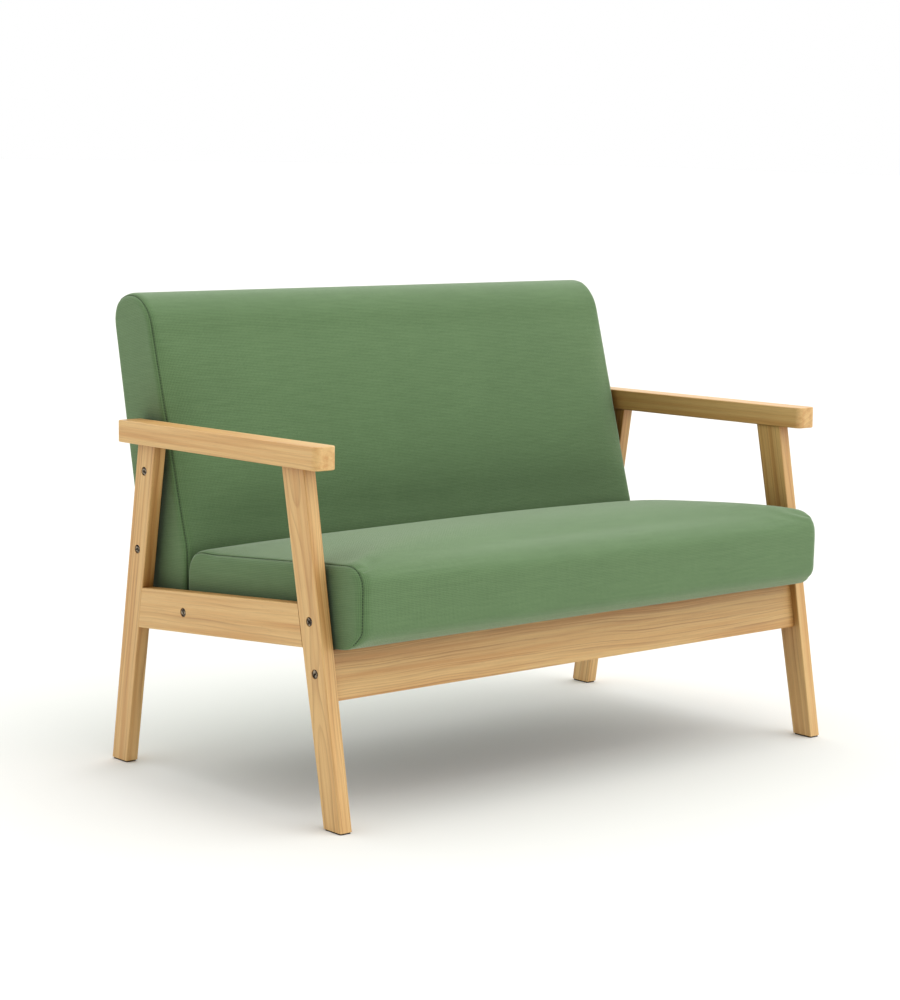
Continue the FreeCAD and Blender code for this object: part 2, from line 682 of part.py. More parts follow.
# The back unit
back_profile = [
    ("dims.back_low_y", "dims.back_bottom"),
    ("dims.back_bend_y", "dims.back_bend_height"),
    back_point("dims.back_face", "0"),
    back_point("dims.back_face", "dims.back_top_thick"),
    ("dims.back_rear_y", "dims.back_bottom"),
]
back_radii = [
    "dims.back_foot_round", None, "dims.back_brow_round", "dims.back_crown_round", "dims.back_foot_round",
]
back_form = cushion_form("back_form", "back", back_profile, back_radii)
rounded(back_form, "dims.seam_round", side_panel_edge)
back_lining = inside("back_lining", "back", back_profile, back_radii, "dims.cover_thick")
node(cut("back_cover_cut", back_form, back_lining, wood_holes, wood_holes_right), "back_cover")


def back_frame_profile(spare):
    """The outline of the back's wooden frame, let out by spare."""
    up, top = f"(dims.back_frame_up - {spare})", f"(dims.back_frame_top + {spare})"
    deep, shallow = f"(dims.back_frame_deep + {spare})", f"(dims.back_frame_in - {spare})"
    return [
        (f"dims.back_low_y + {shallow}", f"dims.back_bottom + {up}"),
        back_point("0", shallow),
        back_point(top, shallow),
        back_point(top, deep),
        (f"dims.back_rear_y - {up}", f"dims.back_bottom + {up}"),
    ]


back_space = block(
    "back_frame_space", back_frame_profile("dims.cavity_clear"),
    f"-{unit_width('back')} / 2", unit_width("back"),
)
back_filling = inside("back_filling", "back", back_profile, back_radii, foam_depth)
node(cut("back_foam_cut", back_filling, back_space), "back_foam")

back_start, back_span = f"-{cross_span('back')} / 2", cross_span("back")
back_side = block(
    "back_side", back_frame_profile("0"), f"-{board_span('back')} / 2", "dims.board_thick",
)
pair(cut("back_side_drilled", back_side, wood_holes, insert_holes), "back_side_board")

frame_in, frame_deep = "dims.back_frame_in", "dims.back_frame_deep"
node(block("back_top", back_band(
    "dims.back_frame_top - dims.board_thick", "dims.back_frame_top", frame_in, frame_deep,
), back_start, back_span), "back_top_board")
node(block("back_lumbar", back_band(
    "dims.lumbar_low", "dims.lumbar_high", frame_in, f"{frame_in} + dims.board_thick",
), back_start, back_span), "back_middle_board")
bottom_low = "dims.back_bottom + dims.back_frame_up"
bottom_high = f"{bottom_low} + dims.board_thick"
bottom_front = f"dims.back_bend_y + {frame_in}"
bottom_rear = "dims.back_rear_y - dims.back_frame_up"
node(block("back_base", [
    (bottom_front, bottom_low),
    (bottom_rear, bottom_low),
    (bottom_rear, bottom_high),
    (bottom_front, bottom_high),
], back_start, back_span), "back_bottom_board")

strap_behind = f"({frame_in} - dims.layer_clear)"
strap_starts = [
    f"({start} + {step} * dims.back_strap_pitch)"
    for start in ("dims.back_strap_low", "dims.back_strap_high") for step in (0, 1)
]
node(group("back_webbing_set", [
    block(f"back_strap_{i}", back_band(
        start, f"{start} + dims.webbing_width", f"{strap_behind} - dims.webbing_thick", strap_behind,
    ), f"-{board_span('back')} / 2", board_span("back"))
    for i, start in enumerate(strap_starts)
]), "back_webbing")

# Every feature must be sound before anything is written
doc.recompute()
for thing in doc.Objects:
    if "Invalid" in thing.State or "Error" in thing.State:
        raise RuntimeError(f"{thing.Label} did not recompute: {thing.State}")
for thing in finished:
    if thing.Shape.isNull() or not thing.Shape.isValid() or not thing.Shape.Solids:
        raise RuntimeError(f"{thing.Label} has no sound shape")

os.makedirs("parts", exist_ok=True)
for thing in finished:
    thing.Shape.exportStep(f"parts/{thing.Label}.step")
    print(f"{thing.Label}: {len(thing.Shape.Solids)} solid(s), {thing.Shape.Volume / 1000:.1f} cm3")
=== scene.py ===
import json
import math

import bmesh
import bpy
from mathutils import Matrix, Vector, noise


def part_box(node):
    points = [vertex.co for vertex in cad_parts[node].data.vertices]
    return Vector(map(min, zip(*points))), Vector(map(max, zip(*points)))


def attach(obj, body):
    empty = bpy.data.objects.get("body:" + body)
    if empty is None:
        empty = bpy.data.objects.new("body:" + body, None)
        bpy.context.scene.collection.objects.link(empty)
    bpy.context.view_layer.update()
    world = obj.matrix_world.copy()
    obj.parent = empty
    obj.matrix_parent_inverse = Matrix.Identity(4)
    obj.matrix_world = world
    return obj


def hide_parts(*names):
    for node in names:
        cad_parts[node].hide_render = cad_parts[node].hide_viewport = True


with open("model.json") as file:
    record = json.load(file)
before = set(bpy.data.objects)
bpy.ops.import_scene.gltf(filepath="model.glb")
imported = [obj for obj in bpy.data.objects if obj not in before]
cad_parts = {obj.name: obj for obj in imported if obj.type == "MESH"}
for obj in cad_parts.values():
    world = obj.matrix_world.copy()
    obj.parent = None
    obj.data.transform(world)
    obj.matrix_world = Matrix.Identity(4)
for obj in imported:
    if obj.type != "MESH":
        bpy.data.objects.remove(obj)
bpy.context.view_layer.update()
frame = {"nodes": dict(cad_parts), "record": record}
scene = bpy.context.scene
print("frame loaded:", len(frame["nodes"]), "nodes")


def colour(hexValue):
    # sRGB hex to linear RGBA
    channels = [int(hexValue[i:i + 2], 16) / 255 for i in (1, 3, 5)]
    return [c / 12.92 if c <= 0.04045 else ((c + 0.055) / 1.055) ** 2.4 for c in channels] + [1]


def addNode(tree, kind, settings, inputs):
    # inputs are plain values or the output sockets of other nodes
    node = tree.nodes.new("ShaderNode" + kind)
    for key, value in settings.items():
        setattr(node, key, value)
    for key, value in inputs.items():
        if isinstance(value, bpy.types.NodeSocket):
            tree.links.new(value, node.inputs[key])
        else:
            node.inputs[key].default_value = value
    return node


def newMaterial(name):
    material = bpy.data.materials.new(name)
    material.use_nodes = True
    material.node_tree.nodes.clear()
    return material, material.node_tree


def finishMaterial(tree, shaderInputs):
    shader = addNode(tree, "BsdfPrincipled", {}, shaderInputs)
    addNode(tree, "OutputMaterial", {}, {"Surface": shader.outputs[0]})


def paintCornerShade(tree, tone, corners):
    # painted shade: corners and gaps between pieces are darkened by an ambient occlusion mask,
    # towards a deeper tone than surfaces out in the open
    openness = addNode(tree, "AmbientOcclusion", {"samples": 8}, {
        "Distance": corners["reach"],
    }).outputs["AO"]
    share = addNode(tree, "MapRange", {}, {
        "Value": openness, "From Min": corners["closed"], "From Max": corners["open"],
    }).outputs[0]
    shadedTone = addNode(tree, "VectorMath", {"operation": "MULTIPLY"}, {
        0: tone, 1: corners["fullShade"],
    }).outputs[0]
    return addNode(tree, "Mix", {"data_type": "RGBA"}, {0: share, 6: shadedTone, 7: tone}).outputs[2]


def newPiece(name, bm, material):
    mesh = bpy.data.meshes.new(name)
    bm.to_mesh(mesh)
    bm.free()
    mesh.polygons.foreach_set("use_smooth", [True] * len(mesh.polygons))
    mesh.materials.append(material)
    piece = bpy.data.objects.new(name, mesh)
    scene.collection.objects.link(piece)
    return piece


# Pine, planed and sanded, under a thin satin lacquer. Pale early wood and narrow amber late wood
# follow one log through each board, so faces, edges and end grain agree.
pine = {
    "lines": 1.0,             # strength of the late wood lines
    "earlyWood": "#E1B878",
    "lateWood": "#9A5C1E",
    "heartTint": "#C98F4C",
    "ringWidth": 0.0052,      # m, between two late wood lines
    "wander": 0.006,          # m, how far the rings drift along the board
    "wanderLength": 0.35,     # m, of that drift along the grain
    "unevenRings": 2.6,       # how many ring widths the spacing gains or loses
    "clouds": (95, 95, 2.2),  # amber clouds in a metre across and along the grain
    "fleckSize": 0.0022,      # m, resin flecks
    "fleckLength": 0.016,     # m
    "fibreWidth": 0.0009,     # m, drawn about three times too wide so that it shows
    "fibreLength": 0.05,      # m
    "roughness": 0.46,
    # painted shade in corners and gaps: how far the occlusion looks, and the tone multiplier where
    # a spot is fully closed in
    "corners": {"reach": 0.30, "closed": 0.25, "open": 0.92, "fullShade": (0.52, 0.38, 0.20)},
}


def pineMaterial(name, pith, turn, look):
    # pith is a point on the middle of the log, and turn brings the grain to Z
    look = {**pine, **look}
    material, tree = newMaterial(name)
    place = addNode(tree, "TexCoord", {}, {}).outputs["Object"]
    log = addNode(tree, "Mapping", {"vector_type": "TEXTURE"}, {
        "Vector": place, "Location": pith, "Rotation": turn,
    }).outputs[0]

    # slow drift of the rings along the board
    slow = addNode(tree, "VectorMath", {"operation": "MULTIPLY"}, {
        0: log, 1: (9.0, 9.0, 1 / look["wanderLength"]),
    }).outputs[0]
    drift = addNode(tree, "TexNoise", {"noise_dimensions": "3D"}, {
        "Vector": slow, "Scale": 1.0, "Detail": 2.0, "Roughness": 0.45,
    }).outputs["Color"]
    centred = addNode(tree, "VectorMath", {"operation": "SUBTRACT"}, {0: drift, 1: (0.5, 0.5, 0.5)})
    moved = addNode(tree, "VectorMath", {"operation": "MULTIPLY_ADD"}, {
        0: centred.outputs[0], 1: (look["wander"] * 4, look["wander"] * 4, 0), 2: log,
    }).outputs[0]
    flat = addNode(tree, "VectorMath", {"operation": "MULTIPLY"}, {
        0: moved, 1: (1, 1, 0),
    }).outputs[0]
    radius = addNode(tree, "VectorMath", {"operation": "LENGTH"}, {0: flat}).outputs["Value"]

    # rings of uneven width: slow rise to late wood, then a sharp fall
    count = addNode(tree, "Math", {"operation": "DIVIDE"}, {
        0: radius, 1: look["ringWidth"],
    }).outputs[0]
    uneven = addNode(tree, "TexNoise", {"noise_dimensions": "1D"}, {
        "W": count, "Scale": 0.45, "Detail": 1.0,
    }).outputs["Fac"]
    ring = addNode(tree, "Math", {"operation": "MULTIPLY_ADD"}, {
        0: uneven, 1: look["unevenRings"], 2: count,
    }).outputs[0]
    rise = addNode(tree, "Math", {"operation": "FRACT"}, {0: ring}).outputs[0]
    late = addNode(tree, "Math", {"operation": "POWER"}, {0: rise, 1: 3.2}).outputs[0]
    fall = addNode(tree, "MapRange", {"interpolation_type": "SMOOTHSTEP"}, {
        "Value": rise, "From Min": 1.0, "From Max": 0.88,
    }).outputs[0]
    line = addNode(tree, "Math", {"operation": "MULTIPLY"}, {0: late, 1: fall}).outputs[0]
    # some rings are faint, and lines fade along the board
    strength = addNode(tree, "TexNoise", {"noise_dimensions": "4D"}, {
        "Vector": slow, "W": addNode(tree, "Math", {"operation": "FLOOR"}, {0: ring}).outputs[0],
        "Scale": 1.3, "Detail": 2.0,
    }).outputs["Fac"]
    bold = addNode(tree, "MapRange", {}, {
        "Value": strength, "From Min": 0.38, "From Max": 0.68,
        "To Min": 0.12 * look["lines"], "To Max": look["lines"],
    }).outputs[0]
    grain = addNode(tree, "Math", {"operation": "MULTIPLY"}, {0: line, 1: bold}).outputs[0]

    # fibres
    fine = addNode(tree, "VectorMath", {"operation": "DIVIDE"}, {
        0: log, 1: (look["fibreWidth"], look["fibreWidth"], look["fibreLength"]),
    }).outputs[0]
    fibre = addNode(tree, "TexNoise", {}, {
        "Vector": fine, "Scale": 1.0, "Detail": 3.0, "Roughness": 0.6,
    }).outputs["Fac"]
    broad = addNode(tree, "VectorMath", {"operation": "MULTIPLY"}, {
        0: log, 1: look["clouds"],
    }).outputs[0]
    cloud = addNode(tree, "TexNoise", {}, {
        "Vector": broad, "Scale": 1.0, "Detail": 3.0,
    }).outputs["Fac"]
    # short dark resin flecks
    fleck = addNode(tree, "VectorMath", {"operation": "DIVIDE"}, {
        0: log, 1: (look["fleckSize"], look["fleckSize"], look["fleckLength"]),
    })
    flecks = addNode(tree, "MapRange", {}, {
        "Value": addNode(tree, "TexNoise", {}, {
            "Vector": fleck.outputs[0], "Scale": 1.0, "Detail": 0.0,
        }).outputs["Fac"],
        "From Min": 0.70, "From Max": 0.80,
    }).outputs[0]

    tinted = addNode(tree, "Mix", {"data_type": "RGBA"}, {
        0: addNode(tree, "MapRange", {}, {
            "Value": cloud, "From Min": 0.42, "From Max": 0.66, "To Max": 0.66,
        }).outputs[0],
        6: colour(look["earlyWood"]), 7: colour(look["heartTint"]),
    }).outputs[2]
    lined = addNode(tree, "Mix", {"data_type": "RGBA"}, {
        0: grain, 6: tinted, 7: colour(look["lateWood"]),
    }).outputs[2]
    shade = addNode(tree, "MapRange", {}, {
        "Value": fibre, "From Min": 0.28, "From Max": 0.72, "To Min": 0.89, "To Max": 1.06,
    }).outputs[0]
    worn = addNode(tree, "Math", {"operation": "MULTIPLY_ADD"}, {
        0: flecks, 1: -0.06, 2: shade,
    }).outputs[0]
    final = addNode(tree, "VectorMath", {"operation": "SCALE"}, {
        0: lined, "Scale": worn,
    }).outputs[0]

    rough = addNode(tree, "MapRange", {}, {
        "Value": fibre, "To Min": look["roughness"] - 0.07, "To Max": look["roughness"] + 0.09,
    }).outputs[0]
    relief = addNode(tree, "Math", {"operation": "MULTIPLY_ADD"}, {
        0: grain, 1: 0.35, 2: fibre,
    }).outputs[0]
    bump = addNode(tree, "Bump", {}, {
        "Strength": 0.28, "Distance": 0.00025, "Height": relief,
    }).outputs[0]
    finishMaterial(tree, {
        # the base colour carries painted shade in corners and gaps
        "Base Color": paintCornerShade(tree, final, look["corners"]),
        "Roughness": rough, "Normal": bump, "IOR": 1.5,
        "Coat Weight": 0.12, "Coat Roughness": 0.35,
    })
    return material


# Each board: grain direction, and where the middle of its log lies beside it
frontLegGrain = (-math.atan2(0.108, 0.540), 0, 0)
backLegGrain = (math.atan2(0.0745, 0.540), 0, 0)
sideRailGrain = (math.pi / 2 - math.radians(4.95), 0, 0)
armrestGrain = (math.pi / 2 - math.radians(0.95), 0, 0)
frontRailGrain = (0, math.pi / 2, 0)
boards = {
    "left_front_leg": {
        "turn": frontLegGrain, "pith": (-0.596, -0.312, 0), "ringWidth": 0.0052, "wander": 0.010,
    },
    "right_front_leg": {"turn": frontLegGrain, "pith": (0.470, -0.200, 0), "ringWidth": 0.0080},
    "left_back_leg": {"turn": backLegGrain, "pith": (-0.560, 0.340, 0), "ringWidth": 0.0075},
    "right_back_leg": {"turn": backLegGrain, "pith": (0.480, 0.200, 0), "ringWidth": 0.0080},
    "left_side_rail": {
        "turn": sideRailGrain, "pith": (-0.600, 0, 0.200), "ringWidth": 0.0060, "lines": 0.6,
    },
    "right_side_rail": {"turn": sideRailGrain, "pith": (0.620, 0, 0.360), "lines": 0.6},
    "left_armrest": {
        "turn": armrestGrain, "pith": (-0.590, 0, 0.450), "ringWidth": 0.0040, "lines": 0.5,
    },
    "right_armrest": {
        "turn": armrestGrain, "pith": (0.590, 0, 0.450), "ringWidth": 0.0045, "lines": 0.5,
    },
    "front_rail": {
        "turn": frontRailGrain, "pith": (0, -0.300, 0.130), "ringWidth": 0.0055, "wander": 0.007,
    },
}
for nodeName, board in boards.items():
    look = {key: value for key, value in board.items() if key not in ("turn", "pith")}
    material = pineMaterial(nodeName + "Pine", board["pith"], board["turn"], look)
    frame["nodes"][nodeName].data.materials.clear()
    frame["nodes"][nodeName].data.materials.append(material)
print("wood done")


# Steel with a dark bronze coating, with lighter spots at random that are partly rubbed wear and
# partly painted highlight
bolts = {"coat": "#2A2018", "rubbedHighlight": "#A39580", "roughness": 0.34}


def boltMaterial():
    material, tree = newMaterial("bronzedSteel")
    place = addNode(tree, "TexCoord", {}, {}).outputs["Object"]
    spots = addNode(tree, "TexNoise", {}, {
        "Vector": place, "Scale": 260.0, "Detail": 3.0,
    }).outputs["Fac"]
    # lighter noise spots: partly rubbed wear, partly painted highlight on the heads
    wearAndHighlight = addNode(tree, "MapRange", {}, {
        "Value": spots, "From Min": 0.46, "From Max": 0.62, "To Max": 0.9,
    }).outputs[0]
    tone = addNode(tree, "Mix", {"data_type": "RGBA"}, {
        0: wearAndHighlight, 6: colour(bolts["coat"]), 7: colour(bolts["rubbedHighlight"]),
    }).outputs[2]
    rough = addNode(tree, "MapRange", {}, {
        "Value": spots, "To Min": bolts["roughness"] - 0.12, "To Max": bolts["roughness"] + 0.12,
    }).outputs[0]
    bump = addNode(tree, "Bump", {}, {
        "Strength": 0.2, "Distance": 0.00005, "Height": spots,
    }).outputs[0]
    finishMaterial(tree, {"Base Color": tone, "Roughness": rough, "Metallic": 0.9, "Normal": bump})
    return material


# Plain mottled finishes: two tones, the size of their speckle in metres, and a surface
plainFinishes = {
    "moulded rubber": {
        "tones": ("#2B211B", "#3A2D24"), "speckle": 0.0006, "roughness": 0.75, "metallic": 0,
    },
    "zinc plate": {
        "tones": ("#9C9D99", "#C4C5C0"), "speckle": 0.0020, "roughness": 0.36, "metallic": 1,
    },
    "black nylon": {
        "tones": ("#141414", "#202020"), "speckle": 0.0010, "roughness": 0.55, "metallic": 0,
    },
    "cut foam": {
        "tones": ("#E3DCBE", "#CFC7A6"), "speckle": 0.0015, "roughness": 0.95, "metallic": 0,
    },
    "sawn board": {
        "tones": ("#CDA873", "#B98F58"), "speckle": 0.0040, "roughness": 0.80, "metallic": 0,
    },
    "spunbond cloth": {
        "tones": ("#1B1C1C", "#2C2D2D"), "speckle": 0.0012, "roughness": 0.92, "metallic": 0,
    },
    "elastic webbing": {
        "tones": ("#26221F", "#3B3631"), "speckle": 0.0014, "roughness": 0.90, "metallic": 0,
    },
    "steel staple": {
        "tones": ("#8E8E8A", "#B5B5B0"), "speckle": 0.0010, "roughness": 0.40, "metallic": 1,
    },
}


def plainMaterial(name):
    look = plainFinishes[name]
    material, tree = newMaterial(name.title().replace(" ", ""))
    place = addNode(tree, "TexCoord", {}, {}).outputs["Object"]
    speckle = addNode(tree, "TexNoise", {}, {
        "Vector": place, "Scale": 1 / look["speckle"] / 2, "Detail": 3.0, "Roughness": 0.6,
    }).outputs["Fac"]
    tone = addNode(tree, "Mix", {"data_type": "RGBA"}, {
        0: addNode(tree, "MapRange", {}, {
            "Value": speckle, "From Min": 0.35, "From Max": 0.65,
        }).outputs[0],
        6: colour(look["tones"][0]), 7: colour(look["tones"][1]),
    }).outputs[2]
    rough = addNode(tree, "MapRange", {}, {
        "Value": speckle, "To Min": look["roughness"] - 0.08, "To Max": look["roughness"] + 0.05,
    }).outputs[0]
    bump = addNode(tree, "Bump", {}, {
        "Strength": 0.5, "Distance": look["speckle"] / 6, "Height": speckle,
    }).outputs[0]
    finishMaterial(tree, {
        "Base Color": tone, "Roughness": rough, "Metallic": look["metallic"], "Normal": bump,
    })
    return material


finishes = {name: plainMaterial(name) for name in plainFinishes}
finishes["bronzed steel"] = boltMaterial()
finishOfSlot = {
    "bolt_metal": "bronzed steel", "hardware": "zinc plate", "foot_pad": "moulded rubber",
    "spacer": "black nylon", "foam": "cut foam", "frame_wood": "sawn board",
    "dust_cloth": "spunbond cloth", "webbing": "elastic webbing",
}
for part in frame["record"]["subparts"]:
    finish = finishOfSlot.get(part["material_slot"])
    if finish:
        mesh = frame["nodes"][part["node"]].data
        mesh.materials.clear()
        mesh.materials.append(finishes[finish])
print("metal, rubber and hidden pieces done")


# Cotton-blend canvas in a plain weave, piece dyed: matt, a little hairy, pale at a low angle
canvas = {
    "thread": "#617E53",
    "threadDark": "#506C45",
    "threadLight": "#708D61",
    "spacing": 0.0027,      # m, more than twice the real 1.2 mm so that it shows
    "slub": 0.060,          # m, length of a thick stretch of thread
    "relief": 0.00035,      # m
    "sheen": 0.52,
    # painted shade in creases and gaps: how far the occlusion looks, and the tone multiplier where
    # a spot is fully closed in
    "corners": {"reach": 0.30, "closed": 0.28, "open": 0.92, "fullShade": (0.44, 0.47, 0.39)},
}


def canvasMaterial():
    material, tree = newMaterial("sageCanvas")
    uv = addNode(tree, "UVMap", {"uv_map": "cloth"}, {}).outputs[0]
    threads = addNode(tree, "VectorMath", {"operation": "DIVIDE"}, {
        0: uv, 1: (canvas["spacing"], canvas["spacing"], 1),
    }).outputs[0]
    axes = addNode(tree, "SeparateXYZ", {}, {0: threads})
    rounds = []
    for axis in ("X", "Y"):
        turned = addNode(tree, "Math", {"operation": "MULTIPLY"}, {
            0: axes.outputs[axis], 1: math.pi,
        }).outputs[0]
        wave = addNode(tree, "Math", {"operation": "SINE"}, {0: turned}).outputs[0]
        rounds.append(addNode(tree, "Math", {"operation": "ABSOLUTE"}, {0: wave}).outputs[0])
    over = addNode(tree, "TexChecker", {}, {
        "Vector": threads, "Color1": (1, 1, 1, 1), "Color2": (0, 0, 0, 1), "Scale": 1.0,
    }).outputs["Fac"]
    warp = addNode(tree, "Math", {"operation": "MULTIPLY_ADD"}, {
        0: rounds[1], 1: 0.35, 2: rounds[0],
    }).outputs[0]
    weft = addNode(tree, "Math", {"operation": "MULTIPLY_ADD"}, {
        0: rounds[0], 1: 0.35, 2: rounds[1],
    }).outputs[0]
    weave = addNode(tree, "Mix", {"data_type": "FLOAT"}, {0: over, 2: warp, 3: weft}).outputs[0]

    # slubs: thick and thin stretches along each thread
    streaks = []
    lengthwise, crosswise = 1 / canvas["slub"], 0.5 / canvas["spacing"]
    for stretch in ((lengthwise, crosswise, 1), (crosswise, lengthwise, 1)):
        along = addNode(tree, "VectorMath", {"operation": "MULTIPLY"}, {
            0: uv, 1: stretch,
        }).outputs[0]
        streaks.append(addNode(tree, "TexNoise", {}, {
            "Vector": along, "Scale": 1.0, "Detail": 2.0, "Roughness": 0.55,
        }).outputs["Fac"])
    slubs = addNode(tree, "Mix", {"data_type": "FLOAT"}, {
        0: 0.3, 2: streaks[0], 3: streaks[1],
    }).outputs[0]
    place = addNode(tree, "TexCoord", {}, {}).outputs["Object"]
    cloud = addNode(tree, "TexNoise", {}, {
        "Vector": place, "Scale": 7.0, "Detail": 2.0,
    }).outputs["Fac"]
    hairs = addNode(tree, "TexNoise", {}, {
        "Vector": place, "Scale": 420.0, "Detail": 2.0,
    }).outputs["Fac"]

    tone = addNode(tree, "Mix", {"data_type": "RGBA"}, {
        0: addNode(tree, "MapRange", {}, {
            "Value": slubs, "From Min": 0.36, "From Max": 0.64,
        }).outputs[0],
        6: colour(canvas["threadDark"]), 7: colour(canvas["threadLight"]),
    }).outputs[2]
    even = addNode(tree, "Mix", {"data_type": "RGBA"}, {
        0: 0.80, 6: tone, 7: colour(canvas["thread"]),
    }).outputs[2]
    depth = addNode(tree, "MapRange", {}, {
        "Value": weave, "From Min": 0.1, "From Max": 1.2, "To Min": 0.66, "To Max": 1.13,
    }).outputs[0]
    mottle = addNode(tree, "MapRange", {}, {
        "Value": cloud, "From Min": 0.3, "From Max": 0.7, "To Min": 0.975, "To Max": 1.025,
    }).outputs[0]
    both = addNode(tree, "Math", {"operation": "MULTIPLY"}, {0: depth, 1: mottle}).outputs[0]
    final = addNode(tree, "VectorMath", {"operation": "SCALE"}, {0: even, "Scale": both}).outputs[0]

    relief = addNode(tree, "Math", {"operation": "MULTIPLY_ADD"}, {
        0: slubs, 1: 0.3, 2: weave,
    }).outputs[0]
    hairy = addNode(tree, "Math", {"operation": "MULTIPLY_ADD"}, {
        0: hairs, 1: 0.5, 2: relief,
    }).outputs[0]
    bump = addNode(tree, "Bump", {}, {
        "Strength": 0.55, "Distance": canvas["relief"], "Height": hairy,
    }).outputs[0]
    finishMaterial(tree, {
        # the base colour carries painted shade in creases and gaps
        "Base Color": paintCornerShade(tree, final, canvas["corners"]),
        "Roughness": 0.9, "Specular IOR Level": 0.25, "Normal": bump,
        "Sheen Weight": canvas["sheen"], "Sheen Roughness": 0.45, "Sheen Tint": colour("#E8F0E2"),
    })
    return material


def threadMaterial():
    # polyester sewing thread, a shade darker than the cloth, twisted and slightly glossy
    material, tree = newMaterial("sewingThread")
    place = addNode(tree, "TexCoord", {}, {}).outputs["Object"]
    twist = addNode(tree, "TexWave", {"bands_direction": "DIAGONAL"}, {
        "Vector": place, "Scale": 320.0, "Distortion": 1.0,
    }).outputs["Fac"]
    tone = addNode(tree, "Mix", {"data_type": "RGBA"}, {
        0: twist, 6: colour("#263720"), 7: colour("#3B5133"),
    }).outputs[2]
    bump = addNode(tree, "Bump", {}, {
        "Strength": 0.4, "Distance": 0.0001, "Height": twist,
    }).outputs[0]
    finishMaterial(tree, {"Base Color": tone, "Roughness": 0.55, "Normal": bump})
    return material


clothFinish = canvasMaterial()
threadFinish = threadMaterial()


# A cushion starts as a box of even cells, closer together beside the seams. Its X ends are the
# sewn-in side panels. u runs across, v from front to rear and w from bottom to top.
rim = {
    "steps": (0.0014, 0.0034, 0.0068, 0.0115, 0.0165, 0.0220),
    "wrap": 0.0030,      # m, radius where the cloth wraps the base boards instead of a seam
    "wrapHeight": (0.012, 0.045),
    "valley": (0.0024, 0.0013, 0.0004),   # m, on the seam and on the first lines beside it
}


def cellLines(length, cell):
    # positions of the grid lines along one side, close together at both ends
    inner = rim["steps"][-1]
    count = max(1, round((length - 2 * inner) / cell))
    middle = [inner + (length - 2 * inner) * i / count for i in range(1, count)]
    return [0, *rim["steps"], *middle, *(length - s for s in reversed(rim["steps"])), length]


def gridBox(lines):
    # a cube cut into cells, and each vertex's place in the grid
    bm = bmesh.new()
    bmesh.ops.create_cube(bm, size=1)
    for axis in range(3):
        along = [e for e in bm.edges if abs((e.verts[0].co - e.verts[1].co)[axis]) > 1e-6]
        bmesh.ops.subdivide_edges(bm, edges=along, cuts=len(lines[axis]) - 2)
    steps = [len(axisLines) - 1 for axisLines in lines]
    spots = [tuple(round((v.co[a] + 0.5) * steps[a]) for a in range(3)) for v in bm.verts]
    return bm, spots


def smoothStep(value, low, high):
    share = min(1, max(0, (value - low) / (high - low)))
    return share * share * (3 - 2 * share)


def roundedSection(v, w, depth, height, corners):
    # a point of the side profile with its corners rounded, its outward direction and inset
    inset = min(v, depth - v, w, height - w)
    front, low = v < depth / 2, w < height / 2
    radius = corners[("lip" if low else "nose") if front else ("tail" if low else "heel")]
    fromSide, fromEnd = (v if front else depth - v), (w if low else height - w)
    signs = Vector((-1 if front else 1, -1 if low else 1))
    if fromSide < radius and fromEnd < radius:
        centre = Vector((radius if front else depth - radius, radius if low else height - radius))
        offset = Vector((v, w)) - centre
        reach = max(abs(offset.x), abs(offset.y))
        if reach < 1e-9:
            return Vector((v, w)), Vector((0, 1)), inset
        direction = offset.normalized()
        return centre + direction * reach, direction, inset
    outward = Vector((signs.x, 0)) if fromSide < fromEnd else Vector((0, signs.y))
    return Vector((v, w)), outward, inset


def seamShare(v, w, cushion):
    # 1 along a sewn edge, less along the rear, and 0 below, where the cloth wraps the boards
    ahead = 1 - smoothStep(v, 0.004, cushion["boardFront"])
    fromRear = smoothStep(cushion["size"][1] - v, 0.005, 0.070)
    rear = cushion["rearRoll"] + (1 - cushion["rearRoll"]) * fromRear
    return max(ahead, smoothStep(w, *rim["wrapHeight"])) * rear


def cushionVertex(u, v, w, cushion):
    # rolls the panels over towards the seam, which lies halfway round the roll
    halfWidth, depth, height = cushion["size"]
    corners = cushion["corners"]
    roll = rim["wrap"] + (cushion["roll"] - rim["wrap"]) * seamShare(v, w, cushion)
    point, outward, inset = roundedSection(v, w, depth, height, corners)
    side = math.copysign(1, u)
    fromEnd = halfWidth - abs(u)
    if fromEnd < 1e-6:
        turn = math.pi / 2 - (1 - inset / roll) * math.pi / 4 if inset < roll else None
        if turn is None:
            return side * halfWidth, point
        point = point + outward * inset
    else:
        turn = (1 - fromEnd / roll) * math.pi / 4 if fromEnd < roll else 0
    if fromEnd >= roll:
        return u, point
    across = halfWidth - roll + roll * math.sin(turn)
    return side * across, point - outward * roll * (1 - math.cos(turn))


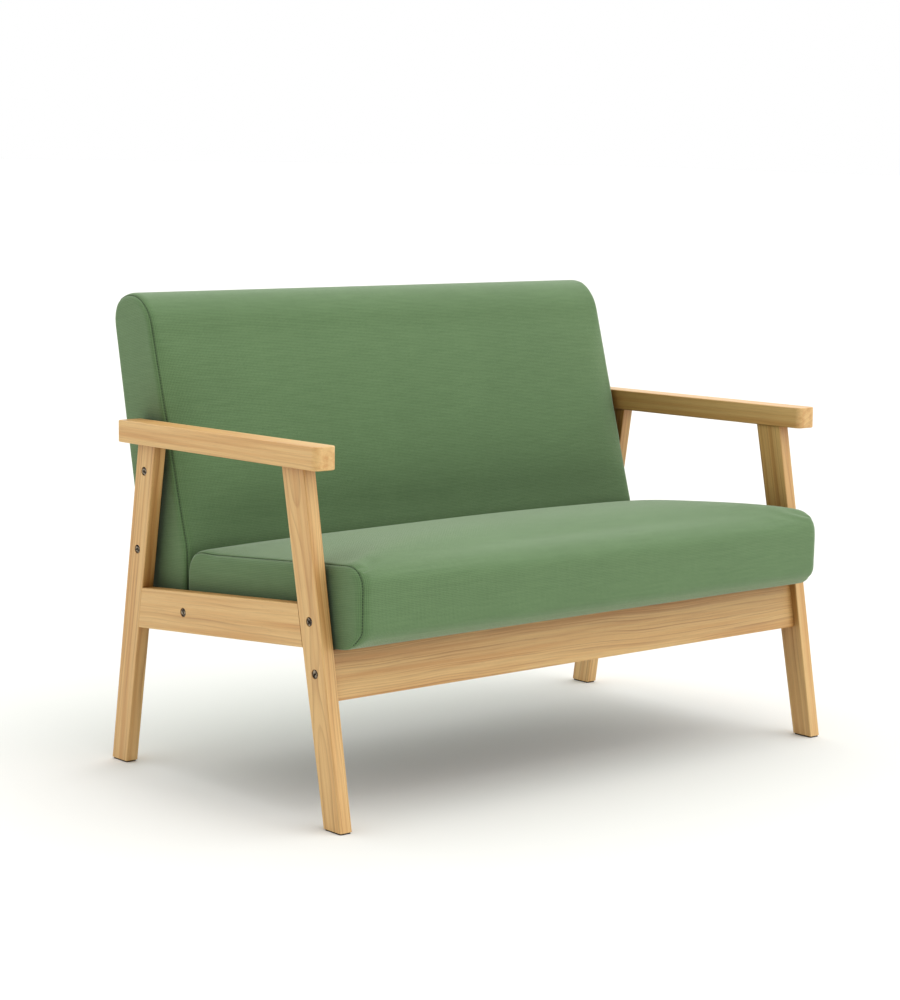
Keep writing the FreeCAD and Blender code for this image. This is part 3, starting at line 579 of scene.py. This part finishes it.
def makeCushion(name, cushion, toFrame, held):
    halfWidth, depth, height = cushion["size"]
    lines = [cellLines(side, cushion["cell"]) for side in (2 * halfWidth, depth, height)]
    bm, spots = gridBox(lines)
    last = [len(axisLines) - 1 for axisLines in lines]

    # girth: the cloth's length around the profile, for the weave
    around = [(j, 0) for j in range(last[1] + 1)]
    around += [(last[1], k) for k in range(1, last[2] + 1)]
    around += [(j, last[2]) for j in range(last[1] - 1, -1, -1)]
    around += [(0, k) for k in range(last[2] - 1, 0, -1)]
    girth, travelled, previous = {}, 0, None
    for j, k in around:
        point = roundedSection(lines[1][j], lines[2][k], depth, height, cushion["corners"])[0]
        travelled += (point - previous).length if previous else 0
        girth[j, k], previous = travelled, point

    flatPlaces, seamOrder, sewn = [], [], []
    for vertex, (i, j, k) in zip(bm.verts, spots):
        u, v, w = lines[0][i] - halfWidth, lines[1][j], lines[2][k]
        across, point = cushionVertex(u, v, w, cushion)
        flatPlaces.append((across, point.x, point.y))
        y, z = toFrame(point.x, point.y, across)
        vertex.co = (across * cushion["taper"](point.y / height), y, z)
        sewn.append(seamShare(v, w, cushion))
        if i in (0, last[0]) and (j, k) in girth:
            seamOrder.append((i, girth[j, k], vertex.index))
    uvLayer = bm.loops.layers.uv.new("cloth")
    for face in bm.faces:
        corners = [spots[loop.vert.index] for loop in face.loops]
        if all(c[0] == corners[0][0] for c in corners) and corners[0][0] in (0, last[0]):
            places = [flatPlaces[loop.vert.index][1:] for loop in face.loops]
        else:
            runs = [girth[c[1], c[2]] for c in corners]
            wraps = max(runs) - min(runs) > travelled / 2
            places = [
                (flatPlaces[loop.vert.index][0], run + travelled * (wraps and run < travelled / 2))
                for loop, run in zip(face.loops, runs)
            ]
        for loop, place in zip(face.loops, places):
            loop[uvLayer].uv = place
    bmesh.ops.recalc_face_normals(bm, faces=bm.faces)
    piece = newPiece(name, bm, clothFinish)

    # how far each point may move: seams and resting faces are held
    freedom = []
    for (i, j, k), (across, v, w) in zip(spots, flatPlaces):
        onEnd = i in (0, last[0])
        edgeInset = min(j, last[1] - j, k, last[2] - k)
        nearSeam = (edgeInset if onEnd else min(i, last[0] - i)) <= 1
        freedom.append(0 if nearSeam else held(across, v, w))
    fillCushion(piece, freedom, cushion)
    closeSeams(piece, spots, last, sewn, cushion)
    stitches = [
        [index for end, run, index in sorted(seamOrder) if end == side and sewn[index] > 0.3]
        for side in (0, last[0])
    ]
    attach(piece, "root")
    return piece, stitches


# The cover's cloth while it is being filled
filling = {
    "quality": 6,
    "mass": 0.25,
    "tension_stiffness": 12,
    "compression_stiffness": 12,
    "shear_stiffness": 5,
    "bending_stiffness": 1.5,
    "use_pressure": True,
    "vertex_group_mass": "sewn",
}
fillingFrames = 20
inwardTravel = 0.25     # share of the outward travel, because foam stands behind the cloth


def fillCushion(piece, freedom, cushion):
    # air pressure fills the cover between its held seams, then each point's travel is limited
    group = piece.vertex_groups.new(name="sewn")
    for index, free in enumerate(freedom):
        group.add([index], 1 - min(1, free), "REPLACE")
    rest = [v.co.copy() for v in piece.data.vertices]
    cloth = piece.modifiers.new("filling", "CLOTH")
    for key, value in filling.items():
        setattr(cloth.settings, key, value)
    cloth.settings.uniform_pressure_force = cushion["pressure"]
    cloth.settings.effector_weights.gravity = 0
    cloth.collision_settings.use_collision = False
    cloth.point_cache.frame_start, cloth.point_cache.frame_end = 1, fillingFrames
    for frameNumber in range(1, fillingFrames + 1):
        scene.frame_set(frameNumber)
    filled = piece.evaluated_get(bpy.context.evaluated_depsgraph_get()).data
    travel = [f.co - r for f, r in zip(filled.vertices, rest)]
    print(piece.name, "swells by up to", round(1000 * max(t.length for t in travel), 1), "mm")
    piece.modifiers.remove(cloth)
    piece.vertex_groups.remove(group)
    scene.frame_set(1)
    normals = [v.normal.copy() for v in piece.data.vertices]
    points = zip(piece.data.vertices, normals, rest, travel, freedom)
    for vertex, normal, start, move, free in points:
        limit = max(cushion["slack"] * min(1, free), 1e-5)
        if move.dot(normal) < 0:
            limit *= inwardTravel
        vertex.co = start + move.normalized() * limit * math.tanh(move.length / limit)


def closeSeams(piece, spots, last, sewn, cushion):
    # pulls the seam into a valley, and lets the cloth beside it pucker a little
    mesh = piece.data
    normals = [v.normal.copy() for v in mesh.vertices]
    for vertex, normal, (i, j, k), share in zip(mesh.vertices, normals, spots, sewn):
        onEnd = i in (0, last[0])
        edgeSteps = min(j, last[1] - j, k, last[2] - k)
        steps = edgeSteps if onEnd else min(i, last[0] - i)
        if steps < len(rim["valley"]):
            vertex.co -= normal * rim["valley"][steps] * share
        if 1 <= steps <= 6:
            ripple = noise.noise(vertex.co * 80) * cushion["pucker"]
            vertex.co += normal * ripple * share * (1 - abs(steps - 3) / 4)
    smooth = piece.modifiers.new("smooth", "SUBSURF")
    smooth.levels = smooth.render_levels = 1


# The seat: its lower face rests on its wooden base and its rear face against the back
seatLow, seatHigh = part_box("seat_cover")
seatCushion = {
    # half width, depth and height
    "size": (seatHigh.x + 0.0005, seatHigh.y - seatLow.y + 0.0025, 0.1352),
    # radii of the profile: lower front, lower rear, upper rear, upper front
    "corners": {"lip": 0.025, "tail": 0.008, "heel": 0.038, "nose": 0.042},
    "roll": 0.0190,         # m, radius where a panel turns over into its seam
    "rearRoll": 0.25,       # share of that radius along the rear
    "boardFront": 0.034,    # m, from the front face back to the base boards
    "tuck": 0.0090,         # m, the lip is pulled up in front of the base board
    "front": seatLow.y - 0.0027,
    "low": -0.0364,         # m, lower face, from the tilted axis of the side rails
    "axis": 0.2868,         # m, height of that axis where Y is 0
    "tilt": math.radians(4.95),
    "cell": 0.0100,         # m, between two grid lines
    "taper": lambda share: 1,
    "fill": 0.8,
    "pucker": 0.0007,       # m, beside the seams
    "pressure": 5,
    "slack": 0.036,         # m, furthest that the cloth may travel
    "ends": 0.24,           # shares of it at the ends and at the front
    "face": 0.14,
}


def seatPlace(v, w, across):
    y = seatCushion["front"] + v
    w += seatCushion["tuck"] * (1 - smoothStep(v, 0.010, 0.040)) * (1 - smoothStep(w, 0, 0.06))
    level = seatCushion["axis"] + (seatCushion["low"] + w) / math.cos(seatCushion["tilt"])
    return y, level - math.tan(seatCushion["tilt"]) * y


onFace = 0.001     # m, nearer to a face than this counts as lying on it


def seatHeld(across, v, w):
    halfWidth, depth, height = seatCushion["size"]
    if w < onFace or v > depth - onFace:
        return 0
    if abs(across) > halfWidth - onFace:
        return seatCushion["ends"] * smoothStep(w, 0, 0.04)
    face = seatCushion["face"] * smoothStep(w, 0.03, 0.06)
    if v < onFace:
        return face
    # the top swells most, and its rear edge least
    top = (1 - seatCushion["face"]) * smoothStep(w, height * 0.6, height * 0.97)
    return (face + top) * smoothStep(depth - v, -0.004, 0.022)


seat, seatSeams = makeCushion("seatCushion", seatCushion, seatPlace, seatHeld)
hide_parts("seat_cover", "seat_foam")
print("seat cushion done")

# The back: upright behind the seat, then leaning, and thinner towards the top
backLow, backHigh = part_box("back_cover")
backCushion = {
    "size": (backHigh.x, 0.1150, 0.5600),
    "corners": {"lip": 0.008, "tail": 0.008, "heel": 0.046, "nose": 0.066},
    "roll": 0.0140,
    "rearRoll": 0.20,
    "boardFront": 0.0045,
    # lines through the front and rear faces, as Y and Z from bottom to top
    "frontLine": ((0.1145, backLow.z), (0.1215, 0.3720), (0.2465, backHigh.z + 0.0165)),
    "rearLine": ((0.2290, backLow.z), (0.3430, 0.7680)),
    "cell": 0.0100,
    "taper": lambda share: 1 - 0.003 * max(0, share - 0.3),   # a touch narrower at the top
    "fill": 0.75,
    "pucker": 0.0007,
    "pressure": 4,
    "slack": 0.008,
    "ends": 0.35,
    "ease": 0.06,           # share of the height over which the front bends
}


def backPlace(v, w, across):
    # v is the share of the way from the front line to the rear line, w the share of the height
    depth, height = backCushion["size"][1:]
    low, bend, top = (Vector(p) for p in backCushion["frontLine"])
    lowerPart = (bend - low).length / ((bend - low).length + (top - bend).length)
    share = w / height
    ease = backCushion["ease"]
    straight = low.lerp(bend, share / lowerPart)
    leaning = bend.lerp(top, (share - lowerPart) / (1 - lowerPart))
    front = straight.lerp(leaning, smoothStep(share, lowerPart - ease, lowerPart + ease))
    rear = Vector(backCushion["rearLine"][0]).lerp(Vector(backCushion["rearLine"][1]), share)
    point = front.lerp(rear, v / depth)
    return point.x, point.y


def backHeld(across, v, w):
    halfWidth, depth, height = backCushion["size"]
    if w < onFace:
        return 0
    if abs(across) > halfWidth - onFace:
        return backCushion["ends"]
    lift = smoothStep(w, 0.12, 0.21) if v < depth / 2 else min(1, w / 0.06)
    towardsTop = 0.12 + 0.88 * smoothStep(height - w, 0.02, 0.14)
    return lift * towardsTop


back, backSeams = makeCushion("backCushion", backCushion, backPlace, backHeld)
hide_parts("back_cover", "back_foam")
print("back cushion done")


# Stitches drawn a little large: 4.6 mm apart, where the real ones are about 3 mm
stitching = {"pitch": 0.0046, "length": 0.0031, "radius": 0.0007, "proud": 0.0005}


def sewSeam(name, piece, loops):
    # a run of stitches lying in the seam's valley
    evaluated = piece.evaluated_get(bpy.context.evaluated_depsgraph_get()).data
    bm = bmesh.new()
    halves = (stitching["length"] / 2, stitching["radius"], stitching["radius"], 1)
    for loop in loops:
        points = [evaluated.vertices[i].co.copy() for i in loop]
        normals = [evaluated.vertices[i].normal.copy() for i in loop]
        travelled, due = 0, stitching["pitch"] / 2
        for start, end, normal in zip(points, points[1:], normals):
            step = (end - start).length
            while step > 0 and due < travelled + step:
                centre = start.lerp(end, (due - travelled) / step) + normal * stitching["proud"]
                along = (end - start).normalized()
                across = along.cross(normal).normalized()
                axes = Matrix((along, across, along.cross(across))).transposed().to_4x4()
                bmesh.ops.create_uvsphere(
                    bm, u_segments=6, v_segments=5, radius=1,
                    matrix=Matrix.Translation(centre) @ axes @ Matrix.Diagonal(halves))
                due += stitching["pitch"]
            travelled += step
    bmesh.ops.recalc_face_normals(bm, faces=bm.faces)
    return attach(newPiece(name, bm, threadFinish), "root")


sewSeam("seatStitching", seat, seatSeams)
sewSeam("backStitching", back, backSeams)
print("stitching done")


# Staples under the seat, driven by hand, so none is quite square to the edge
staples = {
    "crown": 0.010, "wire": 0.0008, "pitch": 0.042, "inset": 0.007,
    "sunk": 0.0009,     # m, below the cloth's upper face
    "askew": 12,        # degrees
    "rounding": 0.0002,
}


def addStaples():
    # a row of staples along each edge of the dust cloth
    low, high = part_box("seat_dust_cloth")
    slope = (low.z - high.z) / (high.y - low.y)
    bm = bmesh.new()
    edges = []
    for y in (low.y + staples["inset"], high.y - staples["inset"]):
        count = int((high.x - low.x) / staples["pitch"])
        edges += [(low.x + (high.x - low.x) * (i + 0.5) / count, y, 0) for i in range(count)]
    for x in (low.x + staples["inset"], high.x - staples["inset"]):
        count = int((high.y - low.y) / staples["pitch"])
        edges += [(x, low.y + (high.y - low.y) * (i + 0.5) / count, 90) for i in range(count)]
    for x, y, turn in edges:
        z = high.z + slope * (y - low.y) - staples["sunk"]
        askew = staples["askew"] * noise.noise(Vector((x, y, 0)) * 40)
        matrix = (Matrix.Translation((x, y, z)) @ Matrix.Rotation(math.atan(slope), 4, "X")
                  @ Matrix.Rotation(math.radians(turn + askew), 4, "Z")
                  @ Matrix.Diagonal((staples["crown"], staples["wire"], staples["wire"] * 0.8, 1)))
        bmesh.ops.create_cube(bm, size=1, matrix=matrix)
    bmesh.ops.bevel(
        bm, geom=bm.edges[:], offset=staples["rounding"], segments=1, profile=0.5,
        affect="EDGES", material=-1)
    piece = newPiece("dustClothStaples", bm, finishes["steel staple"])
    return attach(piece, "root")


addStaples()
print("staples done")


# A pale paper floor that runs on past the view
room = {"floor": "#EAEAE6", "reach": 60.0, "world": "#FFFFFF", "backdrop": 1.0}


def makeFloor():
    bm = bmesh.new()
    bmesh.ops.create_grid(bm, x_segments=4, y_segments=4, size=room["reach"])
    material, tree = newMaterial("seamlessPaper")
    place = addNode(tree, "TexCoord", {}, {}).outputs["Object"]
    fibres = addNode(tree, "TexNoise", {}, {
        "Vector": place, "Scale": 60.0, "Detail": 3.0,
    }).outputs["Fac"]
    finishMaterial(tree, {
        "Base Color": colour(room["floor"]), "Specular IOR Level": 0.1,
        "Roughness": addNode(tree, "MapRange", {}, {
            "Value": fibres, "To Min": 0.85, "To Max": 0.95,
        }).outputs[0],
    })
    mesh = bpy.data.meshes.new("floor")
    bm.to_mesh(mesh)
    bm.free()
    mesh.materials.append(material)
    floor = bpy.data.objects.new("floor", mesh)
    scene.collection.objects.link(floor)
    floor.visible_shadow = False   # there is no light below it to stop


makeFloor()

# A white surround, brightest overhead and to the right, with a dark flag low on the near left side
surround = {
    "even": 1.05, "up": 0.32, "right": 0.20,
    "keySide": (0.707, -0.707, 0), "key": 0.26,
    "flagSide": (-0.707, -0.707, 0), "flag": 1.25,
}


def makeSurround():
    world = bpy.data.worlds.new("studio")
    world.use_nodes = True
    tree = world.node_tree
    tree.nodes.clear()
    direction = addNode(tree, "TexCoord", {}, {}).outputs["Generated"]

    def towards(side):
        cosine = addNode(tree, "VectorMath", {"operation": "DOT_PRODUCT"}, {0: direction, 1: side})
        return addNode(tree, "Math", {"operation": "MAXIMUM"}, {
            0: cosine.outputs["Value"], 1: 0,
        }).outputs[0]

    slope = addNode(tree, "VectorMath", {"operation": "DOT_PRODUCT"}, {
        0: direction, 1: (surround["right"], 0, surround["up"]),
    }).outputs["Value"]
    base = addNode(tree, "Math", {"operation": "ADD"}, {0: slope, 1: surround["even"]}).outputs[0]
    keyed = addNode(tree, "Math", {"operation": "MULTIPLY_ADD"}, {
        0: towards(surround["keySide"]), 1: surround["key"], 2: base,
    }).outputs[0]
    flagShape = addNode(tree, "Math", {"operation": "POWER"}, {
        0: towards(surround["flagSide"]), 1: 3,
    })
    flagged = addNode(tree, "Math", {"operation": "MULTIPLY_ADD"}, {
        0: flagShape.outputs[0], 1: -surround["flag"], 2: keyed,
    }).outputs[0]
    lit = addNode(tree, "Math", {"operation": "MAXIMUM"}, {0: flagged, 1: 0}).outputs[0]
    height = addNode(tree, "SeparateXYZ", {}, {0: direction}).outputs["Z"]
    aboveFloor = addNode(tree, "MapRange", {}, {
        "Value": height, "From Min": -0.02, "From Max": 0.0,
    }).outputs[0]
    upper = addNode(tree, "Math", {"operation": "MULTIPLY"}, {0: lit, 1: aboveFloor}).outputs[0]
    # the camera sees plain white behind the sofa
    seen = addNode(tree, "LightPath", {}, {}).outputs["Is Camera Ray"]
    strength = addNode(tree, "Mix", {"data_type": "FLOAT"}, {
        0: seen, 2: upper, 3: room["backdrop"],
    }).outputs[0]
    background = addNode(tree, "Background", {}, {
        "Color": colour(room["world"]), "Strength": strength,
    })
    addNode(tree, "OutputWorld", {}, {"Surface": background.outputs[0]})
    scene.world = world


makeSurround()

# a large soft lamp overhead, a little to the front and right, far enough away to be even
overhead = {"from": (0.12, -0.22, 1.0), "spread": math.radians(42), "strength": 0.62}
lampData = bpy.data.lights.new("overhead", "SUN")
lampData.angle, lampData.energy = overhead["spread"], overhead["strength"]
lamp = bpy.data.objects.new("overhead", lampData)
lamp.rotation_mode = "QUATERNION"
lamp.rotation_quaternion = Vector(overhead["from"]).to_track_quat("Z", "Y")
scene.collection.objects.link(lamp)

# azimuth 0 looks along +Y; the sensor's 36 mm lie along the longer side of the view
viewpoint = {
    "place": (-2.9536, -3.2710, 1.0548), "azimuth": -41.544, "down": 8.080, "roll": 1.249,
    "lens": 93.256, "sensor": 36,
}
cameraData = bpy.data.cameras.new("camera")
cameraData.lens, cameraData.sensor_width = viewpoint["lens"], viewpoint["sensor"]
cameraData.clip_start, cameraData.clip_end = 0.05, 200
camera = bpy.data.objects.new("camera", cameraData)
camera.matrix_world = (
    Matrix.Translation(viewpoint["place"])
    @ Matrix.Rotation(math.radians(viewpoint["azimuth"]), 4, "Z")
    @ Matrix.Rotation(math.radians(90 - viewpoint["down"]), 4, "X")
    @ Matrix.Rotation(math.radians(viewpoint["roll"]), 4, "Z")
)
scene.collection.objects.link(camera)
scene.camera = camera
scene.view_settings.view_transform = "Standard"
print("room, light and camera done")
